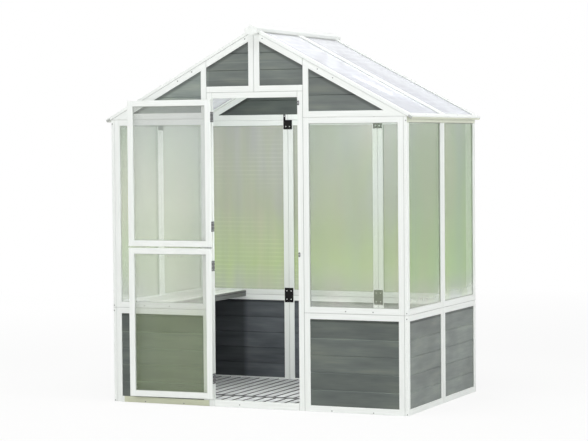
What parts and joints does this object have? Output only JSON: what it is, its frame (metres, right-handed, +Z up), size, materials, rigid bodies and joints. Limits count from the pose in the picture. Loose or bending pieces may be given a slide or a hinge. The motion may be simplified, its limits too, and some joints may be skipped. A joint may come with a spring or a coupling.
{
  "type": "polycarbonate greenhouse",
  "caption": "Small walk-in greenhouse: white timber frames with grey boards below and clear twin-wall sheets above, pitched roof, ridge cap and a two-part door standing open.",
  "frame": {"origin": "middle of the footprint at ground level, on the underside of the middle floor joist", "axes": "+Z up, the door side looks along -Y, +X to the right of someone looking at the door from outside"},
  "size_m": [1.9768, 1.2912, 2.2482],
  "materials": {
    "white_timber": "white painted fir, satin",
    "grey_board": "grey stained tongued boards, matt",
    "polycarbonate": "clear twin-wall sheet, fine vertical ribs",
    "floor_timber": "pale grey-white floor boards",
    "shelf_timber": "pale grey-white slats",
    "black_steel": "black powder-coated plate",
    "zinc_steel": "dull zinc-plated"
  },
  "bodies": {
    "house": {"front_lower_frames": "white_timber", "front_upper_frames": "white_timber", "front_boards": "grey_board", "front_sheets": "polycarbonate", "back_lower_frames": "white_timber", "back_upper_frames": "white_timber", "back_boards": "grey_board", "back_sheets": "polycarbonate", "left_lower_frames": "white_timber", "left_upper_frames": "white_timber", "left_boards": "grey_board", "left_sheets": "polycarbonate", "right_lower_frames": "white_timber", "right_upper_frames": "white_timber", "right_boards": "grey_board", "right_sheets": "polycarbonate", "door_jambs": "white_timber", "door_header": "white_timber", "threshold": "white_timber", "front_gable_frames": "white_timber", "front_gable_boards": "grey_board", "back_gable_frames": "white_timber", "back_gable_boards": "grey_board", "left_roof_frames": "white_timber", "left_roof_sheets": "polycarbonate", "right_roof_frames": "white_timber", "right_roof_sheets": "polycarbonate", "ridge_cap": "white_timber", "ridge_end_blocks": "white_timber", "floor_joists": "floor_timber", "floor_boards": "floor_timber", "shelf_frame": "shelf_timber", "shelf_slats": "shelf_timber", "upper_brackets": "black_steel", "middle_brackets": "black_steel", "door_catches": "zinc_steel", "jamb_hinges": "zinc_steel"},
    "upper_door": {"upper_door_frame": "white_timber", "upper_door_sheet": "polycarbonate", "upper_door_hinges": "zinc_steel"},
    "lower_door": {"lower_door_frame": "white_timber", "lower_door_sheet": "polycarbonate", "lower_door_hinges": "zinc_steel"}
  },
  "joints": [
    {"name": "upper_door_hinge", "type": "hinge", "parent": "house", "child": "upper_door", "pos_m": [-0.272, -0.604, 0.947], "axis": [0, 0, 1], "range_deg": [-3, 177]},
    {"name": "lower_door_hinge", "type": "hinge", "parent": "house", "child": "lower_door", "pos_m": [-0.272, -0.604, 0.046], "axis": [0, 0, 1], "range_deg": [-3, 177]}
  ]
}
